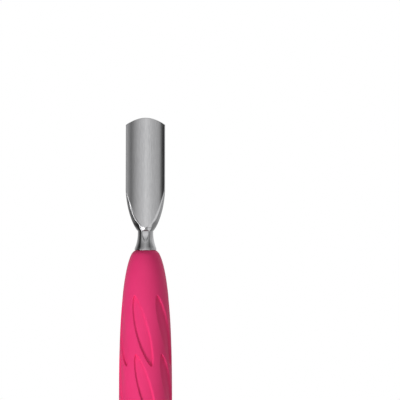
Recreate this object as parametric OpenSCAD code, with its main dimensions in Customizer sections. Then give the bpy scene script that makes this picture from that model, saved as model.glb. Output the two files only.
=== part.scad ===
// Cuticle pusher: a double-ended nail tool in forged steel with a moulded silicone grip.
// Units are millimetres. +Z runs along the tool to the spoon, and the worked faces look along -Y.
// The origin is the middle of the grip.

/* [Grip] */
// length of the silicone grip, from neck to neck
grip_length = 90.8; // [70:0.1:110]
// radius of the grip's straight middle
grip_radius = 4.75; // [4:0.05:6]
// radius of the rounded lip where the grip meets a neck
lip_radius = 2.5; // [2.2:0.05:3]
// length over which each end swells to the full radius
shoulder_length = 26; // [15:0.5:35]

/* [Leaf recesses] */
// leaves around the grip in one row
leaves_per_row = 6; // [4:1:9]
// rows of leaves at each end
leaf_rows = 3; // [1:1:3]
// distance from the grip's end to the middle of the first row
first_row = 14.3; // [12:0.1:18]
// distance between rows
row_pitch = 10.4; // [9:0.1:14]
// half the length of a leaf, along the grip
leaf_half_length = 6.25; // [4:0.05:8]
// half the width of a leaf, around the grip
leaf_half_width = 1.23; // [0.6:0.01:1.8]
// how far each leaf leans around the grip, in degrees for each millimetre along it
leaf_lean = 3.36; // [0:0.01:5]
// angle of the first row's front leaf
first_leaf_angle = -6.7; // [-30:0.1:30]
// turn from each row to the next
row_turn = 7; // [0:0.1:30]
// depth of a leaf's floor below the grip
leaf_depth = 0.35; // [0.1:0.05:0.8]

/* [Core and tangs] */
// radius of the steel core
core_radius = 2.75; // [2.2:0.05:3]
// distance that the core stops short of each end of the grip
core_inset = 5.4; // [4:0.1:8]
// radius of a tang and of its socket in the core
tang_radius = 1.4; // [1:0.05:1.6]
// depth of each socket
socket_depth = 12.6; // [8:0.1:18]
// gap left under each tang for the glue
glue_gap = 0.6; // [0.2:0.1:2]
// depth of the grooves that key the silicone to the core
key_depth = 0.45; // [0.2:0.05:0.8]
// width of each of those grooves
key_width = 2; // [1:0.1:4]
// radius of a cross pin
pin_radius = 0.6; // [0.4:0.05:0.8]
// distance from the core's end to its cross pin
pin_inset = 6; // [3:0.1:9]

/* [Necks] */
// radius of the flange that sits on the silicone
flange_radius = 1.95; // [1.8:0.01:2.4]
// height of the flange's upright rim
flange_rim = 0.3; // [0.1:0.05:0.6]
// radius of the spoon's neck at its waist
spoon_waist = 1.37; // [1.2:0.01:1.6]
// radius of the blade's neck at its waist
blade_waist = 1.44; // [1.2:0.01:1.6]
// height of the waist above the grip
waist_height = 3; // [2:0.1:4]

/* [Spoon] */
// height of the spoon's tip above the grip
spoon_length = 23.65; // [18:0.05:30]
// half the spoon's width
spoon_half_width = 3.5; // [2.5:0.05:4.5]
// height where the spoon's body springs from the neck
spoon_root = 3.35; // [3:0.05:5]
// radius of the trough
trough_radius = 5.36; // [4:0.01:8]
// height where the trough begins
trough_start = 4; // [3.5:0.1:6]
// how far the trough's floor stands in front of the axis at its start
trough_front = 1.0; // [0.5:0.05:1.4]
// backward slope of the trough, in millimetres for each millimetre of height
trough_slope = 0.1228; // [0:0.001:0.2]
// thickness of the shell where the trough begins
shell_root = 1.18; // [0.8:0.01:2]
// thickness of the shell at the tip
shell_tip = 0.3; // [0.15:0.01:0.6]
// radius of the shell's rounded back
back_radius = 5.0; // [4:0.01:8]
// radius of the tip's curve, seen from the front
tip_radius = 5.25; // [4:0.05:9]

/* [Blade] */
// height of the blade's point above the grip
blade_length = 25.6; // [18:0.05:30]
// distance of the point from the axis
point_offset = 1.9; // [0:0.05:3]
// distance of the heel from the axis
heel_offset = 5.3; // [4:0.05:7]
// height of the heel above the grip
heel_height = 13.1; // [9:0.05:16]
// half the blade's thickness at the neck
blade_root_half = 1.4; // [1:0.01:1.44]
// half the blade's thickness at its point
blade_tip_half = 0.3; // [0.1:0.01:0.6]
// thickness of the cutting edge
edge_land = 0.15; // [0.05:0.01:0.4]
// gain in thickness behind the cutting edge, in millimetres for each millimetre
bevel_slope = 0.42; // [0.2:0.01:1]
// radius of the spine's rounding
spine_round = 1.5; // [1.4:0.01:2]

/* [Hidden] */
$fn = 96;
half_grip = grip_length / 2;
half_core = half_grip - core_inset;
tang_length = core_inset + socket_depth - glue_gap;
pin_height = half_core - pin_inset;
key_heights = [-24, -8, 8, 24];
outline_steps = 20;
steel = [0.78, 0.79, 0.80];
core_steel = [0.60, 0.61, 0.63];
silicone = [0.90, 0.25, 0.46];

// A point of a cubic curve through four control points.
function cubic(p, t) =
    pow(1 - t, 3) * p[0] + 3 * pow(1 - t, 2) * t * p[1] + 3 * (1 - t) * t * t * p[2] + pow(t, 3) * p[3];

// Half of the grip's outline, from the lip to the straight middle, as radius and height.
shoulder_curve = [
    [lip_radius, half_grip - 0.7],
    [lip_radius + 1.5, half_grip - 3.7],
    [grip_radius, half_grip - 12],
    [grip_radius, half_grip - shoulder_length]
];
lip_curve = [
    [lip_radius - 0.65, half_grip],
    [lip_radius - 0.35, half_grip],
    [lip_radius - 0.12, half_grip - 0.25],
    [lip_radius, half_grip - 0.7]
];
function grip_half(inset) = concat(
    [for (i = [0 : 4]) cubic(lip_curve, i / 4) - [inset, 0]],
    [for (i = [1 : outline_steps]) cubic(shoulder_curve, i / outline_steps) - [inset, 0]]
);

// Half the width of the spoon's body at a height above the grip.
function body_half(h) = let (t = min(1, max(0, (h - spoon_root) / 7.6)))
    spoon_waist + (spoon_half_width - spoon_waist) * pow(1 - pow(1 - t, 1.9), 0.8);

// The trough floor's distance behind the axis at a height above the grip.
function trough_floor(h) = (h - trough_start) * trough_slope - trough_front;

// A solid of revolution whose outline is given on one side of the Z axis.
module turned(outline) {
    rotate_extrude() polygon(outline);
}

// A plate whose outline is given in X and Z, with its two faces at the given Y.
module plate(outline, front, back) {
    translate([0, back, 0]) rotate([90, 0, 0]) linear_extrude(height = back - front) polygon(outline);
}

// A bar along X whose outline is given in Y and Z.
module bar(outline, half_width) {
    translate([-half_width, 0, 0])
        rotate([90, 0, 90]) linear_extrude(height = 2 * half_width) polygon(outline);
}

// The grip's outer barrel, drawn in by an inset.
module barrel(inset) {
    side = grip_half(inset);
    last = len(side) - 1;
    turned(concat(
        [[0, half_grip]],
        side,
        [for (i = [last : -1 : 0]) [side[i][0], -side[i][1]]],
        [[0, -half_grip]]
    ));
}

// Half the width of a leaf at t, from -1 at one tip to 1 at the other.
function leaf_half(t) = leaf_half_width * pow(max(0, 1 - t * t), 0.62);

// One leaf as a radial prism, centred on the front of the grip at height zero.
module leaf() {
    base = grip_radius - 1.9;
    lean = leaf_lean * PI / 180 * (grip_radius - leaf_depth / 2);
    steps = 8;
    side = [for (i = [-steps : steps]) sin(i * 90 / steps)];
    translate([0, -base, 0]) rotate([90, 0, 0]) linear_extrude(height = 3)
        polygon(concat(
            [for (t = side) [-lean * t * leaf_half_length - leaf_half(t), t * leaf_half_length]],
            [for (i = [len(side) - 2 : -1 : 1])
                [leaf_half(side[i]) - lean * side[i] * leaf_half_length, side[i] * leaf_half_length]]
        ));
}

// All the leaves on the spoon's half of the grip.
module half_leaves() {
    for (row = [0 : leaf_rows - 1])
        for (i = [0 : leaves_per_row - 1])
            rotate([0, 0, first_leaf_angle + row * row_turn + i * 360 / leaves_per_row])
                translate([0, 0, half_grip - first_row - row * row_pitch])
                    leaf();
}

// The core's solid outline, without its sockets, which is also the cavity in the silicone.
module core_body() {
    difference() {
        union() {
            cylinder(h = 2 * half_core - 1, r = core_radius, center = true);
            translate([0, 0, half_core - 0.5]) cylinder(h = 0.5, r1 = core_radius, r2 = core_radius - 0.5);
            translate([0, 0, -half_core]) cylinder(h = 0.5, r1 = core_radius - 0.5, r2 = core_radius);
        }
        for (z = key_heights)
            translate([0, 0, z - key_width / 2])
                difference() {
                    cylinder(h = key_width, r = core_radius + 1);
                    translate([0, 0, -1]) cylinder(h = key_width + 2, r = core_radius - key_depth);
                }
    }
}

// The soft grip: barrel, leaf recesses, the cavity for the core and a way in for each tang.
module grip_sleeve() {
    color(silicone)
    difference() {
        barrel(0);
        difference() {
            union() {
                half_leaves();
                rotate([0, 180, 0]) half_leaves();
            }
            barrel(leaf_depth);
        }
        core_body();
        cylinder(h = grip_length + 2, r = tang_radius, center = true);
    }
}

// The stiff rod inside the grip, with a socket and a cross hole at each end.
module handle_core() {
    color(core_steel)
    difference() {
        core_body();
        for (side = [-1, 1]) {
            translate([0, 0, side * (half_core - socket_depth / 2 + 0.5)])
                cylinder(h = socket_depth + 1, r = tang_radius, center = true);
            translate([0, 0, side * pin_height])
                rotate([0, 90, 0]) cylinder(h = 2 * core_radius + 2, r = pin_radius, center = true);
        }
    }
}

// A neck and its tang, turned in one piece. Height zero is the end of the grip.
module neck(waist, top, top_radius) {
    flare = flange_radius - waist;
    turned(concat(
        [[0, -tang_length], [tang_radius - 0.3, -tang_length], [tang_radius, 0.3 - tang_length]],
        [[tang_radius, 0], [flange_radius, 0], [flange_radius, flange_rim]],
        [for (i = [1 : 9]) [
            waist + flare * pow(1 - i / 9, 2.4),
            flange_rim + (waist_height - flange_rim) * i / 9
        ]],
        [[top_radius, top], [0, top]]
    ));
}

// The hole for a cross pin through a tang.
module pin_hole() {
    translate([0, 0, -core_inset - pin_inset])
        rotate([0, 90, 0]) cylinder(h = 2 * tang_radius + 2, r = pin_radius, center = true);
}

// The spoon's outline from the front.
module spoon_outline(front, back) {
    steps = 16;
    corner = asin(spoon_half_width / tip_radius);
    side = [for (i = [0 : steps]) let (h = spoon_root + 7.6 * i / steps) [body_half(h), h]];
    tip = [for (i = [-6 : 6]) [
        tip_radius * sin(i * corner / 6),
        spoon_length - tip_radius * (1 - cos(i * corner / 6))
    ]];
    plate(concat(
        side,
        [for (i = [6 : -1 : -6]) tip[i + 6]],
        [for (i = [steps : -1 : 0]) [-side[i][0], side[i][1]]]
    ), front, back);
}

// A round bar lying along the spoon, whose rearmost line runs through two heights and depths.
module leaning_round(radius, foot, low, low_y, high, high_y) {
    slope = atan((high_y - low_y) / (high - low));
    translate([0, low_y, low])
        rotate([-slope, 0, 0])
            translate([0, -radius, foot - low]) cylinder(h = 34, r = radius);
}

// A round bullet that eases the corners where the spoon's body springs from the neck.
module spoon_shoulder() {
    steps = 16;
    turned(concat(
        [[0, spoon_root]],
        [for (i = [0 : steps]) let (h = spoon_root + 7.6 * i / steps)
            [body_half(h) * (1 + 0.12 * pow(i / steps, 2)), h]],
        [[6, spoon_length + 1], [0, spoon_length + 1]]
    ));
}

// The spoon's shell before the trough is cut: the rounded back and the root that tapers into it.
module spoon_blank() {
    back_low = trough_floor(trough_start) + shell_root;
    back_high = trough_floor(spoon_length) + shell_tip;
    intersection() {
        spoon_outline(-trough_front - 1, 3);
        spoon_shoulder();
        union() {
            leaning_round(back_radius, trough_start - 8, trough_start, back_low, spoon_length, back_high);
            translate([0, 0, spoon_root - 0.2])
                rotate([-2, 0, 0]) cylinder(h = 13, r1 = spoon_waist, r2 = 0.5);
        }
    }
}

// The rounded pusher: a shell with a straight, leaning trough, growing out of a tapered root.
module spoon_end() {
    floor_low = trough_floor(trough_start);
    floor_high = trough_floor(spoon_length);
    color(steel)
    translate([0, 0, half_grip])
    difference() {
        union() {
            neck(spoon_waist, spoon_root + 0.15, spoon_waist + 0.02);
            difference() {
                spoon_blank();
                leaning_round(trough_radius, trough_start, trough_start, floor_low, spoon_length, floor_high);
                bar([
                    [-6, spoon_root - 1], [-trough_front - 0.43, spoon_root - 1],
                    [-trough_front - 0.43, trough_start - 0.5],
                    [-trough_front, trough_start], [-trough_front - 0.4, 11],
                    [-trough_front - 1.2, 25], [-6, 25]
                ], 6);
            }
        }
        pin_hole();
    }
}

// The blade's outline from the front, with the cutting edge on the left.
module blade_outline(front, back) {
    notch = [
        [-4.2, 12.1], [-3.65, 11.6], [-3.2, 11.1], [-2.8, 10.55], [-2.5, 10.0],
        [-2.25, 9.45], [-2.05, 8.9], [-1.87, 8.35], [-1.75, 7.8], [-1.63, 6.8]
    ];
    spine = [
        [1.68, 6.25], [1.76, 7.6], [1.84, 8.9], [1.92, 10.2], [1.96, 11.6], [1.93, 12.6],
        [1.85, 13.8], [1.72, 15.1], [1.52, 16.4], [1.24, 17.8], [0.88, 19.2], [0.45, 20.6],
        [-0.05, 22.0], [-0.62, 23.3], [-1.2, 24.5]
    ];
    plate(concat(
        notch, spine,
        [[-point_offset, blade_length], [-heel_offset, heel_height], [-heel_offset + 0.25, heel_height - 0.25]]
    ), front, back);
}

// The wedge between the blade's front and back faces, thinning towards the point.
module blade_wedge() {
    bar([
        [-blade_root_half, waist_height], [-blade_tip_half, blade_length + 1],
        [blade_tip_half, blade_length + 1], [blade_root_half, waist_height]
    ], 8);
}

// The front face's distance behind the axis at a height above the grip.
function blade_face(h) = (h - waist_height) * (blade_root_half - blade_tip_half)
    / (blade_length + 1 - waist_height) - blade_root_half;

// What the bevel leaves: a wedge that opens from the cutting edge towards the spine.
module bevel_keep() {
    rise = blade_length - heel_height;
    run = heel_offset - point_offset;
    back = blade_face(blade_length) - blade_face(heel_height);
    reach = 24;
    translate([-heel_offset, blade_face(heel_height), heel_height])
        rotate([0, -atan2(rise, run), 0])
            rotate([0, 0, atan2(back, norm([rise, run]))])
                rotate([90, 0, 90]) translate([0, 0, -12]) linear_extrude(height = 40)
                    polygon([
                        [-4, 4], [-4, -reach], [edge_land + bevel_slope * reach, -reach],
                        [edge_land - bevel_slope * 4, 4]
                    ]);
}

// A disc with a round rim, whose edge follows the spine.
module spine_disc() {
    disc_radius = 35.3;
    translate([1.96 - disc_radius, 0, 10.4])
        rotate([90, 0, 0])
            rotate_extrude(angle = 360)
                union() {
                    translate([0, -spine_round]) square([disc_radius - spine_round, 2 * spine_round]);
                    intersection() {
                        translate([disc_radius - spine_round, 0]) circle(r = spine_round);
                        translate([disc_radius - spine_round - 0.1, -2]) square([4, 4]);
                    }
                }
}

// The hatchet-shaped cleaner, drawn upright and then turned over to the lower end.
module blade_end() {
    color(steel)
    rotate([0, 180, 0])
    translate([0, 0, half_grip])
    difference() {
        union() {
            neck(blade_waist, waist_height + 0.4, blade_waist + 0.02);
            intersection() {
                turned([[0, waist_height], [blade_waist, waist_height], [1.66, 7.4], [1.3, 9.2], [0, 10]]);
                blade_wedge();
            }
            intersection() {
                blade_outline(-3, 3);
                blade_wedge();
                bevel_keep();
                spine_disc();
            }
        }
        pin_hole();
    }
}

// A cross pin with eased ends.
module cross_pin(height) {
    ease = 0.15;
    color(core_steel)
    translate([0, 0, height]) rotate([0, 90, 0]) translate([0, 0, -core_radius + 0.1])
        turned([
            [0, 0], [pin_radius - ease, 0], [pin_radius, ease], [pin_radius, 2 * core_radius - 0.2 - ease],
            [pin_radius - ease, 2 * core_radius - 0.2], [0, 2 * core_radius - 0.2]
        ]);
}

// Locks the spoon's tang in the core.
module spoon_end_pin() {
    cross_pin(pin_height);
}

// Locks the blade's tang in the core.
module blade_end_pin() {
    cross_pin(-pin_height);
}

grip_sleeve();
handle_core();
spoon_end();
blade_end();
spoon_end_pin();
blade_end_pin();
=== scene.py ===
# %% [markdown]
# # A cuticle pusher, from bare surfaces to a studio picture
#
# The tool has three outer pieces: a hollowed steel spoon, a hatchet-shaped steel blade, and a soft
# silicone grip between them. Each is worked out here as a surface: a function of two parameters,
# sampled on a grid with numpy and handed to Blender as a mesh. The steel rod and the two pins inside
# the grip come from the CAD model as they are, and only get a finish.
#
# The CAD model is loaded first, because its box is the size that every new surface has to keep.

import math

import bpy
import numpy as np
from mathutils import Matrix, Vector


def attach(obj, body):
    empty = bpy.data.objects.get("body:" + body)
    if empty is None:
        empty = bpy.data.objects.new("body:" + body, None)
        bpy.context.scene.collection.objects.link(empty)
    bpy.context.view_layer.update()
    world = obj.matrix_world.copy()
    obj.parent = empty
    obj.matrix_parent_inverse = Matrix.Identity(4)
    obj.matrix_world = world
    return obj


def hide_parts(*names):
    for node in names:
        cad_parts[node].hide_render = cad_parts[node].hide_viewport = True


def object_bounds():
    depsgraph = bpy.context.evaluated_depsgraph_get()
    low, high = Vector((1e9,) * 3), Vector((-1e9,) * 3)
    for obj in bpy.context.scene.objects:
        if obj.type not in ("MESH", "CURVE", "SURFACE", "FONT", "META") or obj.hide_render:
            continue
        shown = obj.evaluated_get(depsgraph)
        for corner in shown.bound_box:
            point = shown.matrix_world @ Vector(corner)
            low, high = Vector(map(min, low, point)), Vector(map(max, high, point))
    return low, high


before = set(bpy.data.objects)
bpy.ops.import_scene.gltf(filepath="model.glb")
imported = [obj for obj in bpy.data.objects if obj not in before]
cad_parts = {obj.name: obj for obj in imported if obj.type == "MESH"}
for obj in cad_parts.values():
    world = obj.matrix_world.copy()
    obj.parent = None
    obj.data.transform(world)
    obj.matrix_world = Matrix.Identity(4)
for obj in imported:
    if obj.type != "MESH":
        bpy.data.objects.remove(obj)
cad_low, cad_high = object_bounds()
MM = 0.001
HALF_GRIP = 45.4
print("CAD box in mm:", [round(v / MM, 2) for v in cad_high - cad_low])

# %% [markdown]
# ## From grids of points to one closed mesh
#
# A piece is made of several patches, such as the outside of a leaf recess and the band beside it.
# Each patch is a grid of points. Patches that touch share the same points along their common edge,
# so the mesh is closed by giving equal points one number. A quad whose corners have merged, as at a
# pole, becomes a triangle. This is simpler than sewing patches by hand, and it can't leave a crack.


# %% Join patches into a mesh
def grid_quads(rows, columns, wrap):
    """Corner numbers of every quad on a grid: for row i and column j the corners are
    (i, j), (i, j + 1), (i + 1, j + 1) and (i + 1, j), and the last column joins the first if wrap."""
    j = np.arange(columns if wrap else columns - 1)
    i = np.arange(rows - 1)
    i, j = np.meshgrid(i, j, indexing="ij")
    k = (j + 1) % columns
    quads = np.stack([i * columns + j, i * columns + k, (i + 1) * columns + k, (i + 1) * columns + j], -1)
    return quads.reshape(-1, 4)


def joined_mesh(name, patches):
    """One mesh from (points in mm, wrap, flip) patches. Points that agree to a hundred-thousandth of a
    millimetre become one vertex, and faces are kept only where three different corners remain."""
    points, quads, start = [], [], 0
    for grid, wrap, flip in patches:
        q = grid_quads(grid.shape[0], grid.shape[1], wrap)
        quads.append((q[:, ::-1] if flip else q) + start)
        points.append(grid.reshape(-1, 3))
        start += grid.shape[0] * grid.shape[1]
    points, quads = np.concatenate(points), np.concatenate(quads)
    _, first, number = np.unique(
        np.round(points, 5) + 0.0, axis=0, return_index=True, return_inverse=True
    )
    quads = number.reshape(-1)[quads]
    same = quads == np.roll(quads, -1, axis=1)
    whole, pinched = quads[same.sum(1) == 0], quads[same.sum(1) == 1]
    keep = ~(pinched == np.roll(pinched, -1, axis=1))
    triangles = pinched[keep].reshape(-1, 3)
    mesh = bpy.data.meshes.new(name)
    mesh.from_pydata((points[first] * MM).tolist(), [], whole.tolist() + triangles.tolist())
    mesh.polygons.foreach_set("use_smooth", np.ones(len(mesh.polygons), bool))
    mesh.update()
    return mesh


def add_piece(name, patches, node):
    """A new piece that rides with the tool and stands for one CAD node, which it hides."""
    mesh = joined_mesh(name, patches)
    piece = bpy.data.objects.new(name, mesh)
    bpy.context.scene.collection.objects.link(piece)
    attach(piece, "root")
    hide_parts(node)
    mesh.calc_loop_triangles()
    size = [round(v / MM, 2) for v in piece.dimensions]
    print(f"{name}: {len(mesh.vertices)} points, {len(mesh.loop_triangles)} triangles, {size} mm")
    return piece


def smooth_step(x, low, high):
    """0 below low, 1 above high, and between them 3t^2 - 2t^3 of the share t of the way."""
    t = np.clip((x - low) / (high - low), 0, 1)
    return t * t * (3 - 2 * t)


# %% [markdown]
# ## The silicone grip
#
# The real grip is moulded round the steel core. Its barrel swells from a small rounded lip to 9.5 mm
# and stays there, and rows of leaf-shaped recesses are pressed into it. They lean round the barrel,
# and each row's leaves point between those of the next.
#
# A displaced even grid would give the leaves saw-toothed edges. So the grid follows the leaves: the
# barrel is tiled with equal six-sided cells, one to a leaf, and in each cell rings of points run
# outward from the leaf's spine, over its floor, up its wall and across to the cell's border.

# %% The barrel's outline
# Control points of two cubic curves, as radius and distance from the grip's end.
LIP = np.array([[1.72, 0], [1.85, 0.04], [2.22, 0.25], [2.5, 0.7]])
SHOULDER = np.array([[2.5, 0.7], [4.0, 3.7], [4.75, 12], [4.75, 26]])


def cubic(points, t):
    """The cubic curve through four control points: (1-t)^3 A + 3(1-t)^2 t B + 3(1-t) t^2 C + t^3 D."""
    t = np.asarray(t)[:, None]
    a, b, c, d = points
    return (1 - t) ** 3 * a + 3 * (1 - t) ** 2 * t * b + 3 * (1 - t) * t**2 * c + t**3 * d


SHOULDER_LINE = cubic(SHOULDER, np.linspace(0, 1, 400))


def barrel_radius(depth_in):
    """The barrel's radius at a distance from the grip's end, read off the shoulder curve."""
    return np.interp(depth_in, SHOULDER_LINE[:, 1], SHOULDER_LINE[:, 0])


def on_barrel(angle, depth_in, sunk):
    """The point at an angle from the front (degrees), a distance from the grip's end and a depth below
    the barrel: x = r sin a, y = -r cos a, z = half the grip less the distance."""
    angle = np.radians(angle)
    r = barrel_radius(depth_in) - sunk
    return np.stack([r * np.sin(angle), -r * np.cos(angle), HALF_GRIP - depth_in], -1)


print("barrel radius at 5, 15 and 30 mm:", barrel_radius(np.array([5.0, 15.0, 30.0])).round(2))

# %% The six-sided cell round one leaf
LEAF_LONG, LEAF_WIDE, LEAF_DEEP = 6.25, 1.23, 0.35
LEAN = 3.36
FIRST_ROW, ROW_PITCH, ROWS = 14.3, 10.4, 3
FIRST_ANGLE, ROW_TURN, STEP = -6.7, 7.0, 60.0
SHORT, LONG, UPRIGHT = 12, 16, 18
SHIFT = ROW_TURN - LEAN * ROW_PITCH
SIDE = 3.2
APEX = np.array([SHIFT + STEP / 2, ROW_PITCH - SIDE])


def run(a, b, count):
    """Points from a towards b, without b."""
    return a + (np.asarray(b) - a) * (np.arange(count) / count)[:, None]


left_low, left_high = np.array([-30.0, -SIDE]), np.array([-30.0, SIDE])
right_low, right_high = -left_high, -left_low
cell_border = np.concatenate([
    run(-APEX, left_low, SHORT), run(left_low, left_high, UPRIGHT), run(left_high, APEX, LONG),
    run(APEX, right_high, SHORT), run(right_high, right_low, UPRIGHT), run(right_low, -APEX, LONG),
])
turn_at = math.degrees(math.asin(0.55))
around = np.concatenate([
    np.linspace(-90, -turn_at, SHORT, endpoint=False),
    np.linspace(-turn_at, turn_at, UPRIGHT, endpoint=False),
    np.linspace(turn_at, 90, LONG, endpoint=False),
    np.linspace(90, 180 - turn_at, SHORT, endpoint=False),
    np.linspace(180 - turn_at, 180 + turn_at, UPRIGHT, endpoint=False),
    np.linspace(180 + turn_at, 270, LONG, endpoint=False),
])
print("points round a cell:", len(cell_border), "of", len(around))


# %% One leaf, ring by ring
EVEN_AROUND = np.linspace(-90, 270, len(around), endpoint=False)


def leaf_ring(row, grow, shrink=1.0, keep=1.0, turns=around):
    """A ring round the leaf, as (sheared angle, distance): with t = sin(turns), the distance is
    t (long + grow) keep, and the half width is (wide + grow)(1 - t^2)^0.62 shrink, left then right."""
    t = np.sin(np.radians(turns))
    side = -np.sign(np.cos(np.radians(turns)) + 1e-12)
    width = (LEAF_WIDE + grow) * np.maximum(0, 1 - t * t) ** 0.62 * shrink
    along = t * (LEAF_LONG + grow) * keep
    radius = barrel_radius(FIRST_ROW + row * ROW_PITCH + along)
    return np.stack([side * np.degrees(width / radius), along], -1)


# The recess wall, as distances outside the leaf's outline and depths below the barrel.
WALL = np.array([
    [0.17, 0], [0.11, 0.008], [0.065, 0.03], [0.03, 0.075], [0.0, 0.14], [-0.03, 0.205],
    [-0.065, 0.27], [-0.11, 0.32], [-0.16, 0.343], [-0.23, 0.35],
])


def leaf_cell(row, turn):
    """All the rings of one cell, from the leaf's spine to the cell's border, on the barrel. The spine
    is a ring of no width, and its even turns make its two sides share their points."""
    layers = [(leaf_ring(row, -0.23, 0.0, 0.82, EVEN_AROUND), LEAF_DEEP)]
    layers += [(leaf_ring(row, -0.23, f, 0.82 + 0.18 * f), LEAF_DEEP) for f in (0.22, 0.45, 0.7, 0.88)]
    layers += [(leaf_ring(row, grow), sunk) for grow, sunk in WALL[::-1]]
    edge = leaf_ring(row, WALL[0, 0])
    layers += [(edge + (cell_border - edge) * f, 0.0) for f in (0.12, 0.3, 0.52, 0.76, 1.0)]
    flat = np.stack([layer for layer, _ in layers])
    sunk = np.array([depth for _, depth in layers])[:, None]
    centre = FIRST_ROW + row * ROW_PITCH
    angle = flat[..., 0] + LEAN * flat[..., 1] + FIRST_ANGLE + row * ROW_TURN + turn
    return on_barrel(angle, flat[..., 1] + centre, sunk)


cells = [leaf_cell(row, k * STEP) for row in range(ROWS) for k in range(6)]
print("cells on half the grip:", len(cells), "of", cells[0].shape[:2], "points")

# %% [markdown]
# The cells end in a zigzag. Bands of rows blend each zigzag into an even ring: towards the lip on one
# side, and towards the plain middle of the grip on the other. The middle ring's points repeat when the
# grip is turned end over end, so the two halves meet point for point.


# %% The bands beside the leaves, the lip and the bore
COLUMNS = 6 * (SHORT + LONG)
EVEN = 360 / COLUMNS


def zigzag(row, toward_lip):
    """The zigzag border of a whole row of cells, as angles and distances from the grip's end."""
    line = (
        np.concatenate([run(left_low, -APEX, SHORT), run(-APEX, right_low, LONG)])
        if toward_lip
        else np.concatenate([run(left_high, APEX, LONG), run(APEX, right_high, SHORT)])
    )
    angle = line[:, 0] + LEAN * line[:, 1] + FIRST_ANGLE + row * ROW_TURN
    angle = (angle[None, :] + STEP * np.arange(6)[:, None]).reshape(-1)
    return angle, np.tile(line[:, 1] + FIRST_ROW + row * ROW_PITCH, 6)


def blend_band(row, toward_lip, ring_at, steps):
    """Rows from a zigzag to the even ring at a distance from the end. The distance goes over in a
    straight line and the angle in a smooth step, so that no row slides past its neighbour at the
    zigzag's steep side. The barrel gives the radius. Returns the points and the ring's angles."""
    angle, distance = zigzag(row, toward_lip)
    first = np.round(np.mean(angle / EVEN - np.arange(COLUMNS)))
    even = (np.arange(COLUMNS) + first) * EVEN
    s = np.linspace(0, 1, steps)[:, None]
    turned = angle + (even - angle) * smooth_step(s, 0, 1)
    points = on_barrel(turned, distance + (ring_at - distance) * s, 0.0)
    return points, even


def rings(angles, outline):
    """Carries an outline of (radius, height) round the axis at the given angles."""
    a = np.radians(angles)[None, :]
    r, z = outline[:, :1], outline[:, 1:]
    return np.stack([r * np.sin(a), -r * np.cos(a), z + 0 * a], -1)


LIP_RING, MID_RING, LIP_END = 5.2, 44.2, 0.7
lip_band, lip_angles = blend_band(0, True, LIP_RING, 11)
mid_band, mid_angles = blend_band(ROWS - 1, False, MID_RING, 10)
shoulder_at = np.concatenate([np.linspace(LIP_RING, 1.4, 15), [1.15, 0.9, LIP_END]])
shoulder_rows = np.stack([barrel_radius(shoulder_at), HALF_GRIP - shoulder_at], -1)
lip_line = cubic(LIP, np.linspace(1, 0, 9)[1:])
lip_rows = np.stack([lip_line[:, 0], HALF_GRIP - lip_line[:, 1]], -1)
TANG_HOLE, CORE_HOLE, CORE_END = 1.42, 2.76, 40.0
bore_rows = np.array([
    [1.62, HALF_GRIP - 0.02], [TANG_HOLE, HALF_GRIP - 0.2], [TANG_HOLE, CORE_END + 0.2],
    [TANG_HOLE, CORE_END], [CORE_HOLE, CORE_END], [CORE_HOLE, CORE_END - 0.4], [CORE_HOLE, 26],
    [CORE_HOLE, 12], [CORE_HOLE, 0],
])
outside_in = np.concatenate([shoulder_rows, lip_rows, bore_rows])
middle_at = np.linspace(MID_RING, HALF_GRIP, 3)[:, None] + 0 * mid_angles
middle = on_barrel(mid_angles[None, :], middle_at, 0.0)
half_grip = [(c, True, True) for c in cells]
half_grip += [(lip_band, True, False), (rings(lip_angles, outside_in), True, False)]
half_grip += [(mid_band, True, True), (middle, True, True)]
END_OVER_END = np.array([-1.0, 1.0, -1.0])
other_half = [(points * END_OVER_END, wrap, flip) for points, wrap, flip in half_grip]
grip = add_piece("soft_grip", half_grip + other_half, "grip_sleeve")

# %% [markdown]
# ## The steel necks
#
# Each end is turned from its own piece of bar. A thin flange sits on the silicone, and beyond it the
# bar narrows like a trumpet's bell to a waist of under 3 mm. Its tang runs inside the grip to the core.


# %% The neck's outline
FLANGE, RIM = 1.95, 0.3
TANG, TANG_END = 1.4, -17.4


def neck_line(waist, top):
    """Radius against height from the tang's foot to the waist. Above the rim the radius is
    waist + (flange - waist)(1 - t)^2.4, with t the share of the way from the rim to the waist."""
    t = np.linspace(0, 1, 48)[1:]
    bell = np.stack([waist + (FLANGE - waist) * (1 - t) ** 2.4, RIM + (top - RIM) * t], -1)
    foot = np.array([
        [0, TANG_END], [0.6, TANG_END], [1.1, TANG_END], [TANG, TANG_END + 0.3], [TANG, TANG_END + 0.6],
    ])
    tang = np.array([[TANG, -9.0], [TANG, -1.0], [TANG, -0.05], [TANG_HOLE, -0.01]])
    flange = np.array([
        [1.62, -0.01], [1.88, -0.01], [1.94, -0.005], [1.955, 0.01], [1.955, 0.06], [1.955, 0.2],
        [1.95, 0.25], [1.93, 0.285], [1.9, 0.3], [1.87, 0.305],
    ])
    bell = bell[bell[:, 1] > 0.34]
    return np.concatenate([foot, tang, flange, bell])


def place_end(points, lower):
    """Stands an end on the grip: up on the spoon's side, or turned end over end for the blade."""
    raised = points + np.array([0, 0, HALF_GRIP])
    return raised * END_OVER_END if lower else raised


# %% [markdown]
# ## The spoon
#
# The pusher is a bar forged flat and wide, with a straight trough ground down its front. It leans
# back, so the trough starts as a point above the neck and widens to the full 7 mm. Its back is
# rounder than its trough, which leaves the sides thin, and a tapered root runs up from the neck.
#
# The surface is a stack of closed loops. Each has a front line, a back line and two rounded sides,
# and at the neck the same loop is a circle, so neck and spoon are one smooth sheet.

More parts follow.
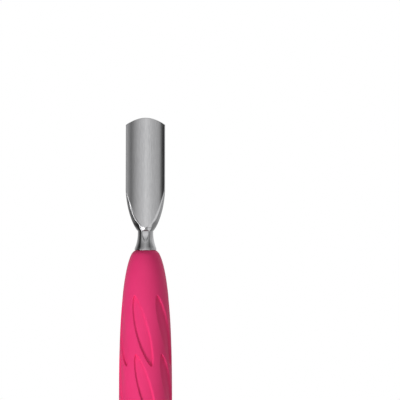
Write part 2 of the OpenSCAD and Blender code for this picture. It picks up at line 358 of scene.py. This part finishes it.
# %% The spoon's width, trough and back
SPOON_TIP, SPOON_HALF, SPOON_ROOT, SPOON_WAIST = 23.65, 3.5, 3.39, 1.37
TROUGH_R, TROUGH_FOOT, BACK_R, TIP_R = 5.36, 4.05, 5.0, 5.25
BACK_ROUND, EDGE_ROUND = 0.1, 0.05
TROUGH_FRONT, TROUGH_LEAN, LIP_RISE = 1.56, 0.151, 0.19
TONGUE_LOW, TONGUE_TOP, TONGUE_SUNK = 0.9, 3.4, 0.08
TIP_TURN = 11


def soft_max(a, b, soft):
    """The larger of a and b, rounded where they cross: (a + b + sqrt((a - b)^2 + soft^2)) / 2."""
    return (a + b + np.sqrt((a - b) ** 2 + soft**2)) / 2


def body_half(h):
    """Half the width: waist + (3.5 - waist)(1 - (1 - t)^1.9)^0.8, with t = (h - root) / 7.6."""
    t = np.clip((h - SPOON_ROOT) / 7.6, 0, 1)
    return SPOON_WAIST + (SPOON_HALF - SPOON_WAIST) * (1 - (1 - t) ** 1.9) ** 0.8


def trough_at(x, h):
    """The trough: a round groove of 5.36 mm radius whose floor starts 1.56 mm before the axis and
    leans back 0.151 mm for each mm."""
    return (h - TROUGH_FOOT) * TROUGH_LEAN - TROUGH_FRONT - (TROUGH_R - np.sqrt(TROUGH_R**2 - x**2))


def trough_half(h):
    """Half the trough's width at the front: 1.17 (h - foot)^0.573, and at most the half width less
    0.08 mm, with a soft turn between the two."""
    opening = 1.17 * np.maximum(0, h - TROUGH_FOOT) ** 0.573
    return np.maximum(0, -soft_max(-opening, 0.08 - body_half(h), 0.12))


def shell_at(x, h):
    """The back without its root: a 5 mm radius that leans back 0.078 mm for each mm, which is less
    than the trough does, so the metal thins towards the tip."""
    return 0.18 + 0.078 * (h - 4) - (BACK_R - np.sqrt(BACK_R**2 - x**2))


def root_at(x, h):
    """How far the root stands out of the back: a bell (1 - (x / s)^2)^2 that narrows and sinks as it
    rises, until it is level with the shell 14.6 mm up."""
    reach = 2.2 - 0.07 * (h - SPOON_ROOT)
    height = soft_max(0.11 * (14.6 - h), 0, 0.1)
    return height * np.maximum(0, 1 - (x / reach) ** 2) ** 2


print("half width at 4, 6, 9 and 12 mm:", body_half(np.array([4.0, 6.0, 9.0, 12.0])).round(2))
print("half trough at the same heights:", trough_half(np.array([4.0, 6.0, 9.0, 12.0])).round(2))

# %% Rows and columns of the spoon
LOW_ROWS = np.concatenate([
    np.linspace(SPOON_ROOT, TROUGH_FOOT, 20), TROUGH_FOOT + 3.0 * np.linspace(0, 1, 40)[1:] ** 2
])
HIGH_ROWS = np.linspace(7.15, TIP_TURN, 30)
SHARE = np.concatenate([np.linspace(0, 0.9, 34)[1:], np.linspace(0.9, 0.99, 10)[1:]])
TIP_ROWS = TIP_TURN + SHARE * (SPOON_TIP - TIP_TURN)
SPOON_ROWS = np.concatenate([LOW_ROWS, HIGH_ROWS, TIP_ROWS])[:, None]
BEND = np.concatenate([np.zeros(len(LOW_ROWS) + len(HIGH_ROWS)), SHARE])[:, None] ** 1.6
HALF_WIDTH, HALF_TROUGH = body_half(SPOON_ROWS), trough_half(SPOON_ROWS)
CREASE = np.minimum(EDGE_ROUND, 0.3 * HALF_TROUGH)
FAN = np.sin(np.radians(np.linspace(0, 90, 20)))
BEVEL_FAN = (np.sin(np.radians(np.linspace(0, 90, 36))) + np.linspace(0, 1, 36)) / 2
QUARTER = np.sin(np.radians([18, 36, 54, 72, 90]))


def bent(x):
    """The height of a point: level rows up to 11 mm, and above them more and more of the tip's curve,
    which drops by its radius less sqrt(radius^2 - x^2)."""
    drop = TIP_R - np.sqrt(TIP_R**2 - np.minimum(x, SPOON_HALF) ** 2)
    return SPOON_ROWS - drop * BEND


def front_columns():
    """Half a row of the front, from the middle out: a fan across the trough, five columns over its
    edge, and a fan across the bevel to the side."""
    trough = (HALF_TROUGH - CREASE) * FAN
    edge = HALF_TROUGH + CREASE * np.array([-0.66, -0.33, 0.0, 0.33, 0.66])
    bevel = HALF_TROUGH + CREASE + (HALF_WIDTH - HALF_TROUGH - CREASE) * BEVEL_FAN
    return np.concatenate([trough, edge, bevel], 1)


def back_columns(count):
    """Half a row of the back: an even fan, and five columns round its edge."""
    inner = HALF_WIDTH - BACK_ROUND
    fan = np.sin(np.radians(np.linspace(0, 90, count - len(QUARTER))))
    return np.concatenate([inner * fan, inner + BACK_ROUND * QUARTER], 1)


FRONT_X = front_columns()
BACK_X = back_columns(FRONT_X.shape[1])
print("spoon rows and columns of half a side:", FRONT_X.shape)


# %% The spoon's front, side and back
def side_levels():
    """The front and back of the side: at the neck both lie on the axis. Then the side is 0.12 mm
    thick up to 8 mm, and from 11 mm it is the whole wall."""
    leave = smooth_step(SPOON_ROWS, SPOON_ROOT, 4.6)
    rear = leave * (shell_at(HALF_WIDTH, bent(HALF_WIDTH)) - BACK_ROUND)
    inner = inner_edge()
    whole = rear - inner - 0.06
    thick = leave * 0.12 + (whole - 0.12) * smooth_step(SPOON_ROWS, 8, TIP_TURN)
    return rear - thick, rear


def inner_edge():
    """How far forward the bevel starts: on the trough's edge, and below the trough on a lip that
    comes forward by the lip's rise times u^1.5, with u from 0 at the neck to 1 at the trough's foot."""
    u = np.minimum(1, (SPOON_ROWS - SPOON_ROOT) / (TROUGH_FOOT - SPOON_ROOT))
    return trough_at(HALF_TROUGH, np.maximum(bent(HALF_TROUGH), TROUGH_FOOT)) + LIP_RISE * (1 - u**1.5)


def bevel_share(v, slant):
    """The bevel's fall over the share v of its width. A quarter circle 1 - sqrt(1 - v^2) at the neck
    goes over into two flats, 0.4 v and then 1.4 v, with a soft turn half way."""
    quarter = 1 - np.sqrt(1 - v**2)
    flats = 0.4 * v + 1.0 * soft_max(v - 0.5, 0, 0.08) + 0.1 * quarter
    return slant * flats + (1 - slant) * quarter


def front_of(x):
    """The front: the trough, and then the bevel from its inner edge to the side. The bevel's own line
    of start widens more slowly than the trough, so that the shoulder has no step where the trough
    begins, and its level there is the one that brings the bevel to the trough's edge. The edge is
    rounded by a parabola."""
    inner, (side, _) = inner_edge(), side_levels()
    slant = smooth_step(SPOON_ROWS, 3.6, 5)
    start = HALF_TROUGH * smooth_step(SPOON_ROWS, TROUGH_FOOT, 5.5)
    wide = HALF_WIDTH - start
    at_edge = bevel_share((HALF_TROUGH - start) / wide, slant)
    level = (inner - side * at_edge) / (1 - at_edge)
    deep = side - level
    v = np.clip((x - start) / wide, 0, 1)
    bevel = level + deep * bevel_share(v, slant)
    y = np.where(x < HALF_TROUGH, trough_at(np.minimum(x, HALF_TROUGH), bent(x)), bevel)
    turn = 0.4 * deep * slant / wide + HALF_TROUGH / np.sqrt(TROUGH_R**2 - HALF_TROUGH**2)
    near = np.maximum(0, CREASE - np.abs(x - HALF_TROUGH))
    return y + turn * near**2 / (4 * np.maximum(CREASE, 1e-9))


def back_of(x):
    """The back: the neck's half circle, which goes over into the shell, its root and its round edge."""
    _, rear = side_levels()
    z = bent(x)
    over = smooth_step(SPOON_ROWS, SPOON_ROOT, 5.4)
    t = np.clip((x - HALF_WIDTH + BACK_ROUND) / BACK_ROUND, 0, 1)
    edge = BACK_ROUND * np.sqrt(1 - t**2)
    plate = shell_at(x, z) - shell_at(HALF_WIDTH, z) + root_at(x, z) - root_at(HALF_WIDTH, z) + edge
    circle = SPOON_WAIST * np.sqrt(np.maximum(0, 1 - (x / HALF_WIDTH) ** 2))
    return rear + (1 - over) * circle + over * plate


def tongue_at(h):
    """The flat that a wheel left on the neck's front: it runs out by 0.095 (3.4 - h)^2 below 3.4 mm,
    and ends above it against the lip in a short slope of 45 degrees."""
    return -1.205 - 0.095 * np.maximum(0, TONGUE_TOP - h) ** 2 - np.maximum(0, h - TONGUE_TOP)


def cut_tongue(points):
    """Cuts the flat into the front of the neck and lip, and sinks it by 0.08 mm, so that a low wall
    runs round it."""
    y, z = points[..., 1], points[..., 2]
    level = tongue_at(z)
    sunk = level + TONGUE_SUNK * smooth_step(level - y, 0, 0.05)
    within = (y < level) & (z > TONGUE_LOW) & (z < TROUGH_FOOT)
    cut = np.where(within, np.maximum(y, sunk), y)
    return np.stack([points[..., 0], cut, z], -1)


# %% Loops from the neck to the tip
def whole_side(x, y, z, mid):
    """A whole row from its right half: the side's middle point, the half mirrored, and the half."""
    x, z = np.concatenate([x, HALF_WIDTH], 1), np.concatenate([z, bent(HALF_WIDTH)], 1)
    y = np.concatenate([y, mid], 1)
    right = np.stack([x, y, z], -1)
    return np.concatenate([right[:, :0:-1] * np.array([-1.0, 1.0, 1.0]), right], 1)


front_y, back_y = front_of(FRONT_X), back_of(BACK_X)
side_middle = (front_y[:, -1:] + back_y[:, -1:]) / 2
front = whole_side(FRONT_X, front_y, bent(FRONT_X), side_middle)
back = whole_side(BACK_X, back_y, bent(BACK_X), side_middle)
body = np.concatenate([front, back[:, ::-1]], 1)


def close_tip(loops, reach, steps):
    """Rounds off the last loop: at angle g each point is cos(g) of its way out from the middle
    between front and back, and reach sin(g) higher."""
    last = loops[-1]
    middle = (last + last[::-1]) / 2
    g = np.radians(np.linspace(0, 90, steps + 1)[1:])[:, None, None]
    return middle + (last - middle) * np.cos(g) + np.array([0, 0, reach]) * np.sin(g)


def turned_angles(loop, radius):
    """The angles at which a loop's columns stand on the neck's circle, front half then back half."""
    half = len(loop) // 2
    angle = np.degrees(np.arcsin(np.clip(loop[:, 0] / radius, -1, 1)))
    return np.concatenate([angle[:half], 180 - angle[half:]])


stem = rings(turned_angles(body[0], SPOON_WAIST), neck_line(SPOON_WAIST, SPOON_ROOT))
spoon_grid = np.concatenate([cut_tongue(np.concatenate([stem[:-1], body])), close_tip(body, 0.13, 5)])
spoon = add_piece("spoon", [(place_end(spoon_grid, False), True, False)], "spoon_end")

# %% [markdown]
# ## The blade
#
# The cleaner is ground from bar of the same size. Its front is one flat face. Its back is bevelled from the
# straight cutting edge towards a round spine, and the whole blade thins to its point. Below the heel
# a hollow notch leads the edge back to the neck.
#
# It is again a stack of loops, from the neck's circle to the point.

# %% The blade's measures at each height
BLADE_TIP, BLADE_WAIST = 25.6, 1.44
HEEL, POINT = np.array([-5.3, 13.1]), np.array([-1.9, 25.6])
# The notch's side and the spine's side, as x and height.
LEFT = np.array([
    [-1.44, 3.0], [-1.47, 4.0], [-1.54, 5.2], [-1.63, 6.8], [-1.75, 7.8], [-2.05, 8.9], [-2.5, 10.0],
    [-3.2, 11.1], [-4.2, 12.1], [-5.3, 13.1], [-1.9, 25.6],
])
RIGHT = np.array([
    [1.44, 3.0], [1.5, 4.0], [1.68, 6.25], [1.84, 8.9], [1.96, 11.6], [1.88, 13.4], [1.68, 15.4],
    [1.32, 17.5], [0.77, 19.6], [-0.15, 22.3], [-1.0, 24.0], [-1.9, 25.6],
])


def eased(points, h):
    """Reads x off a list of (x, height) corners with a smooth curve between them: the slopes at the
    corners are the mean of the slopes on their two sides, and each span is a cubic."""
    x, z = points[:, 0], points[:, 1]
    d = np.diff(x) / np.diff(z)
    m = np.concatenate([[d[0]], (d[:-1] + d[1:]) / 2, [d[-1]]])
    i = np.clip(np.searchsorted(z, h, side="right") - 1, 0, len(z) - 2)
    span = z[i + 1] - z[i]
    t = (h - z[i]) / span
    return (
        (2 * t**3 - 3 * t**2 + 1) * x[i] + (t**3 - 2 * t**2 + t) * span * m[i]
        + (3 * t**2 - 2 * t**3) * x[i + 1] + (t**3 - t**2) * span * m[i + 1]
    )


def left_edge(h):
    """The notch below the heel as a smooth curve, and the cutting edge above it as a straight line."""
    edge = HEEL[0] + (h - HEEL[1]) * (POINT[0] - HEEL[0]) / (POINT[1] - HEEL[1])
    return np.where(h < HEEL[1], eased(LEFT[:-1], np.minimum(h, HEEL[1])), edge)


def face_at(h):
    """How far the flat front stands before the axis: 1.4 mm at the neck, thinning to 0.3 at the point."""
    return (h - 3) * 1.1 / 23.6 - 1.4


def bevel_at(x, h):
    """The back of the bevel: the front face plus the edge's 0.15 mm, plus 0.42 mm for each mm from the
    cutting edge, measured square to that edge."""
    along = (POINT - HEEL) / np.linalg.norm(POINT - HEEL)
    away = along[1] * (x - HEEL[0]) - along[0] * (h - HEEL[1])
    return face_at(h) + 0.15 + 0.42 * np.maximum(away, 0)


print("blade thickness at 6, 12 and 20 mm:", (-2 * face_at(np.array([6.0, 12.0, 20.0]))).round(2))

# %% Loops from the neck to the point
FLAT, SPINE, EDGE = 48, 26, 14
BLADE_ROOT = 3.0
SPINE_ROUND = [(3, 1.09), (7, 1.4), (12.5, 1.2), (18, 0.72), (23, 0.3), (25.6, 0.04)]
LEFT_ROUND = [(3, 1.09), (6, 0.75), (8, 0.55), (10, 0.4), (12, 0.15), (13.1, 0.05), (25.6, 0.02)]


def blade_loops():
    """Every loop of the blade. The front runs straight from the left rounding to the spine's rounding,
    each side is half an ellipse, and the back follows the bevel until the blade's full thickness."""
    h = np.concatenate([
        np.linspace(BLADE_ROOT, 11.4, 50), np.linspace(11.5, 13.1, 26), np.linspace(13.2, 24.8, 60),
        np.linspace(24.9, 25.58, 12),
    ])[:, None]
    low, high = left_edge(h), eased(RIGHT, h)
    spine = np.interp(h, *zip(*SPINE_ROUND))
    soft = np.interp(h, *zip(*LEFT_ROUND))
    spine = np.minimum(spine, (high - low) * 0.5)
    soft = np.minimum(soft, (high - low) * 0.3)
    q = np.linspace(0, 1, FLAT)[None, :]
    x = low + soft + (high - spine - low - soft) * q
    front = face_at(h) + 0 * x
    full = -face_at(h)
    back = -soft_max(-bevel_at(x, h), -full, 0.08)
    tau = np.radians(np.linspace(-90, 90, SPINE + 2)[1:-1])[None, :]
    mid, half = (front[:, -1:] + back[:, -1:]) / 2, (back[:, -1:] - front[:, -1:]) / 2
    xr, yr = high - spine + spine * np.cos(tau), mid + half * np.sin(tau)
    tau = np.radians(np.linspace(90, -90, EDGE + 2)[1:-1])[None, :]
    mid, half = (front[:, :1] + back[:, :1]) / 2, (back[:, :1] - front[:, :1]) / 2
    xl, yl = low + soft - soft * np.cos(tau), mid + half * np.sin(tau)
    xs = np.concatenate([x, xr, x[:, ::-1], xl], 1)
    ys = np.concatenate([front, yr, back[:, ::-1], yl], 1)
    return np.stack([xs, ys, h + 0 * xs], -1)


loops = blade_loops()
start_angle = np.arctan2(loops[0][:, 0], -loops[0][:, 1])
circle = np.stack([BLADE_WAIST * np.sin(start_angle), -BLADE_WAIST * np.cos(start_angle)], -1)
near = (1 - smooth_step(loops[:, 0, 2], BLADE_ROOT, 6.5))[:, None, None]
loops[..., :2] = loops[..., :2] * (1 - near) + circle[None] * near
point = np.broadcast_to(np.append(POINT[:1], [face_at(BLADE_TIP) + 0.08, BLADE_TIP]), loops[:1].shape)
stem = rings(np.degrees(start_angle), neck_line(BLADE_WAIST, BLADE_ROOT))
blade_grid = np.concatenate([stem[:-1], loops, point])
blade = add_piece("blade", [(place_end(blade_grid, True), True, False)], "blade_end")

# %% [markdown]
# ## Finishes
#
# The steel is satin polished: mirror-like at a glance, with hair-fine lines along the tool that widen
# every reflection, and a few rubbed patches. The silicone is matte, with a faint bloom and the skin
# of the mould. Effects used by more than one finish are node groups.


# %% Helpers for node trees
def link_all(tree, pairs):
    """Joins sockets two by two."""
    for a, b in pairs:
        tree.links.new(a, b)


def new_group(name, inputs, outputs):
    """An empty shader node group with named number inputs and outputs."""
    group = bpy.data.node_groups.new(name, "ShaderNodeTree")
    for label, value in inputs:
        socket = group.interface.new_socket(name=label, in_out="INPUT", socket_type="NodeSocketFloat")
        socket.default_value = value
    for label in outputs:
        group.interface.new_socket(name=label, in_out="OUTPUT", socket_type="NodeSocketFloat")
    return group, group.nodes.new("NodeGroupInput"), group.nodes.new("NodeGroupOutput")


def ranged(tree, value, low, high, to_low, to_high):
    """A Map Range node from one span to another, and its result."""
    node = tree.nodes.new("ShaderNodeMapRange")
    node.inputs["From Min"].default_value = low
    node.inputs["From Max"].default_value = high
    node.inputs["To Min"].default_value = to_low
    node.inputs["To Max"].default_value = to_high
    tree.links.new(value, node.inputs["Value"])
    return node.outputs["Result"]


# %% Polishing lines, as a group
def polish_group():
    """Fine lines along the tool: noise squeezed thirtyfold along Z. Out come the lines and slow rub
    marks, both from 0 to 1."""
    group, given, result = new_group(
        "polishing lines", [("Line scale", 5000.0), ("Rub scale", 260.0)], ["Lines", "Rub"]
    )
    n = group.nodes
    where, squeeze = n.new("ShaderNodeTexCoord"), n.new("ShaderNodeMapping")
    squeeze.inputs["Scale"].default_value = (1.0, 1.0, 0.03)
    lines, rub = n.new("ShaderNodeTexNoise"), n.new("ShaderNodeTexNoise")
    lines.inputs["Detail"].default_value = 3.0
    rub.inputs["Detail"].default_value = 4.0
    link_all(group, [
        (where.outputs["Object"], squeeze.inputs["Vector"]),
        (squeeze.outputs["Vector"], lines.inputs["Vector"]),
        (where.outputs["Object"], rub.inputs["Vector"]),
        (given.outputs["Line scale"], lines.inputs["Scale"]),
        (given.outputs["Rub scale"], rub.inputs["Scale"]),
        (lines.outputs["Fac"], result.inputs["Lines"]),
        (rub.outputs["Fac"], result.inputs["Rub"]),
    ])
    return group


POLISH = polish_group()


def steel(name, dark, light, rough_low, rough_high, line_scale, bump):
    """A polished or turned steel. The lines and rub marks vary its colour, roughness and surface."""
    material = bpy.data.materials.new(name)
    material.use_nodes = True
    tree = material.node_tree
    shader = tree.nodes["Principled BSDF"]
    shader.inputs["Metallic"].default_value = 1.0
    marks = tree.nodes.new("ShaderNodeGroup")
    marks.node_tree = POLISH
    marks.inputs["Line scale"].default_value = line_scale
    tone = tree.nodes.new("ShaderNodeMix")
    tone.data_type = "RGBA"
    tone.inputs["A"].default_value = (*dark, 1)
    tone.inputs["B"].default_value = (*light, 1)
    relief = tree.nodes.new("ShaderNodeBump")
    relief.inputs["Strength"].default_value = bump
    relief.inputs["Distance"].default_value = 0.00002
    rough = ranged(tree, marks.outputs["Rub"], 0.35, 0.65, rough_low, rough_high)
    link_all(tree, [
        (marks.outputs["Lines"], tone.inputs["Factor"]),
        (tone.outputs["Result"], shader.inputs["Base Color"]),
        (rough, shader.inputs["Roughness"]),
        (marks.outputs["Lines"], relief.inputs["Height"]),
        (relief.outputs["Normal"], shader.inputs["Normal"]),
    ])
    return material


polished = steel("satin polished steel", (0.55, 0.55, 0.56), (0.71, 0.71, 0.72), 0.12, 0.17, 5000, 0.15)
turned = steel("turned core steel", (0.40, 0.41, 0.43), (0.50, 0.51, 0.53), 0.28, 0.4, 2500, 0.3)
for piece in (spoon, blade):
    piece.data.materials.append(polished)
for node in ("handle_core", "spoon_end_pin", "blade_end_pin"):
    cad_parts[node].data.materials.clear()
    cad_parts[node].data.materials.append(turned)
print("steels:", polished.name, "and", turned.name)


# %% Silicone
def silicone():
    """Matte pink silicone: a fine moulded skin, slow changes of tone, and a soft bloom at grazing
    angles from the shader's sheen."""
    material = bpy.data.materials.new("matte silicone")
    material.use_nodes = True
    tree = material.node_tree
    shader = tree.nodes["Principled BSDF"]
    shader.inputs["Specular IOR Level"].default_value = 0.25
    shader.inputs["Sheen Weight"].default_value = 0.04
    shader.inputs["Sheen Roughness"].default_value = 0.5
    where = tree.nodes.new("ShaderNodeTexCoord")
    skin, cloud = tree.nodes.new("ShaderNodeTexNoise"), tree.nodes.new("ShaderNodeTexNoise")
    skin.inputs["Scale"].default_value = 6500
    skin.inputs["Detail"].default_value = 2.0
    cloud.inputs["Scale"].default_value = 150
    cloud.inputs["Detail"].default_value = 3.0
    tone = tree.nodes.new("ShaderNodeMix")
    tone.data_type = "RGBA"
    tone.inputs["A"].default_value = (0.87, 0.038, 0.184, 1)
    tone.inputs["B"].default_value = (0.91, 0.045, 0.203, 1)
    relief = tree.nodes.new("ShaderNodeBump")
    relief.inputs["Strength"].default_value = 0.15
    relief.inputs["Distance"].default_value = 0.00003
    spread = ranged(tree, cloud.outputs["Fac"], 0.3, 0.7, 0.0, 1.0)
    rough = ranged(tree, cloud.outputs["Fac"], 0.3, 0.7, 0.50, 0.58)
    link_all(tree, [
        (where.outputs["Object"], skin.inputs["Vector"]),
        (where.outputs["Object"], cloud.inputs["Vector"]),
        (spread, tone.inputs["Factor"]),
        (tone.outputs["Result"], shader.inputs["Base Color"]),
        (rough, shader.inputs["Roughness"]),
        (skin.outputs["Fac"], relief.inputs["Height"]),
        (relief.outputs["Normal"], shader.inputs["Normal"]),
    ])
    return material


grip.data.materials.append(silicone())
print("grip finish:", grip.data.materials[0].name)

# %% [markdown]
# ## The studio
#
# The tool stands upright over a pale floor in a white room. Polished steel shows only what is round
# it, so the room matters more than the lamps: it is bright in front and behind, and dark to the
# left, which draws the dark edges of the metal. The strongest lamp stands low on the left and lights
# the silicone only. A strip and a small lamp beside it are mirrored as the thin highlights along the
# spoon's bevel and lip, and a card on the right and a window behind fill the shadows.


# %% Floor
def floor(height, half):
    """A flat pale square some way below the tool, so that a lamp can stand under it."""
    corners = np.array([[-half, -half], [half, -half], [half, half], [-half, half]])
    mesh = bpy.data.meshes.new("floor")
    mesh.from_pydata([(x, y, height) for x, y in corners.tolist()], [], [(0, 1, 2, 3)])
    made = bpy.data.objects.new("floor", mesh)
    bpy.context.scene.collection.objects.link(made)
    material = bpy.data.materials.new("pale floor")
    material.use_nodes = True
    shader = material.node_tree.nodes["Principled BSDF"]
    shader.inputs["Base Color"].default_value = (0.9, 0.9, 0.9, 1)
    shader.inputs["Roughness"].default_value = 0.8
    shader.inputs["Emission Color"].default_value = (1, 1, 1, 1)
    shader.inputs["Emission Strength"].default_value = 0.6
    mesh.materials.append(material)
    made.visible_glossy = False
    made.visible_diffuse = False
    return made


FLOOR_DROP, FLOOR_HALF = 0.45, 1.8
floor(cad_low.z - FLOOR_DROP, FLOOR_HALF)

# %% The room's light, as the world
def room():
    """The sky round the tool: its brightness follows the compass direction, times a factor that
    follows the height, and the camera itself sees white."""
    world = bpy.data.worlds.new("white room")
    bpy.context.scene.world = world
    world.use_nodes = True
    tree = world.node_tree
    n = tree.nodes
    for node in list(n):
        n.remove(node)
    out, mixer = n.new("ShaderNodeOutputWorld"), n.new("ShaderNodeMixShader")
    seen, lit = n.new("ShaderNodeBackground"), n.new("ShaderNodeBackground")
    seen.inputs["Color"].default_value = (1, 1, 1, 1)
    where, split = n.new("ShaderNodeTexCoord"), n.new("ShaderNodeSeparateXYZ")
    minus, turn = n.new("ShaderNodeMath"), n.new("ShaderNodeMath")
    minus.operation, turn.operation = "MULTIPLY", "ARCTAN2"
    minus.inputs[1].default_value = -1.0
    link_all(tree, [
        (where.outputs["Generated"], split.inputs["Vector"]),
        (split.outputs["Y"], minus.inputs[0]),
        (split.outputs["X"], turn.inputs[0]),
        (minus.outputs["Value"], turn.inputs[1]),
    ])
    compass = brightness(
        tree, ranged(tree, turn.outputs["Value"], -math.pi, math.pi, 0.0, 1.0),
        [((degrees + 180) / 360, level) for degrees, level in COMPASS],
    )
    height = brightness(
        tree, ranged(tree, split.outputs["Z"], -1.0, 1.0, 0.0, 1.0),
        [((math.sin(math.radians(degrees)) + 1) / 2, level) for degrees, level in HEIGHTS],
    )
    strength = n.new("ShaderNodeMath")
    strength.operation = "MULTIPLY"
    path = n.new("ShaderNodeLightPath")
    link_all(tree, [
        (height, strength.inputs[0]),
        (compass, lit.inputs["Color"]),
        (strength.outputs["Value"], lit.inputs["Strength"]),
        (path.outputs["Is Camera Ray"], mixer.inputs["Fac"]),
        (lit.outputs["Background"], mixer.inputs[1]),
        (seen.outputs["Background"], mixer.inputs[2]),
        (mixer.outputs["Shader"], out.inputs["Surface"]),
    ])
    strength.inputs[1].default_value = 2.0


def brightness(tree, value, stops):
    """A colour ramp in greys through (position, level) stops."""
    ramp = tree.nodes.new("ShaderNodeValToRGB")
    elements = ramp.color_ramp.elements
    elements[0].position, elements[1].position = stops[0][0], stops[-1][0]
    for position, _ in stops[1:-1]:
        elements.new(position)
    for spot, (_, level) in zip(elements, stops):
        spot.color = (level, level, level, 1)
    tree.links.new(value, ramp.inputs["Fac"])
    return ramp.outputs["Color"]


COMPASS = [
    (-180, 0.95), (-160, 0.80), (-130, 0.50), (-110, 0.27), (-94, 0.08), (-72, 0.04), (-66, 0.14),
    (-57, 0.46), (-46, 0.56), (-30, 0.67), (-13, 0.86), (-2, 0.96), (6, 0.84), (21, 0.71), (37, 0.50),
    (49, 0.31), (57, 0.20), (67, 0.33), (77, 0.55), (98, 0.52), (112, 0.74), (150, 0.80), (180, 0.95),
]
HEIGHTS = [
    (-90, 0.12), (-40, 0.22), (-22, 0.29), (-6, 0.32), (4, 0.42), (14, 0.50), (20, 0.42), (30, 0.26),
    (50, 0.28), (90, 0.40),
]
room()


# %% Lamps
# The lamps are aimed at the upper part of the tool.
LIT = (0.0, 0.0, 0.04)


def soft_light(name, place, size, power, mirrored):
    """An oblong area light at a place in metres, turned towards the tool. The steel mirrors it only
    if asked: the strongest lamp would burn the metal out."""
    lamp = bpy.data.lights.new(name, "AREA")
    lamp.shape = "RECTANGLE"
    lamp.size, lamp.size_y = size
    lamp.energy = power
    made = bpy.data.objects.new(name, lamp)
    bpy.context.scene.collection.objects.link(made)
    made.location = place
    away = made.location - type(made.location)(LIT)
    made.rotation_euler = away.to_track_quat("Z", "Y").to_euler()
    made.visible_camera = False
    made.visible_glossy = mirrored
    return made


def toward(compass, height, distance):
    """The place at a compass direction from the front, a height angle and a distance from the tool."""
    a, e = math.radians(compass), math.radians(height)
    step = (math.sin(a) * math.cos(e), -math.cos(a) * math.cos(e), math.sin(e))
    return tuple(c + distance * s for c, s in zip(LIT, step))


soft_light("low left softbox", toward(-41, -40, 0.6), (0.16, 0.16), 2.25, False)
soft_light("left strip", toward(-57, -28, 0.45), (0.07, 0.26), 0.11, True)
soft_light("small low lamp", toward(-28, -35, 0.45), (0.2, 0.11), 0.17, True)
soft_light("low right card", toward(48, -25, 0.5), (0.35, 0.3), 0.2, True)
soft_light("back window", toward(165, 30, 0.6), (0.3, 0.3), 0.6, False)

# %% [markdown]
# ## Camera
#
# The view is square on to the front, through a very long lens, so that nothing tapers. The camera
# stands level with the spoon's neck and a little to the right of the tool.

# %% Camera and colour
lens = bpy.data.cameras.new("camera")
LENS, SENSOR = 300.0, 36.0
lens.lens, lens.sensor_width = LENS, SENSOR
VIEW_WIDE = 71.43 * MM
VIEW_X, VIEW_Z = 9.73 * MM, 54.33 * MM
camera = bpy.data.objects.new("camera", lens)
bpy.context.scene.collection.objects.link(camera)
distance = VIEW_WIDE * LENS / SENSOR
camera.location = (VIEW_X, -distance, VIEW_Z)
camera.rotation_euler = (math.pi / 2, 0, 0)
lens.clip_start, lens.clip_end = 0.01, 20.0
bpy.context.scene.camera = camera
bpy.context.scene.view_settings.view_transform = "Standard"
print("camera stands", round(distance / MM), "mm away")
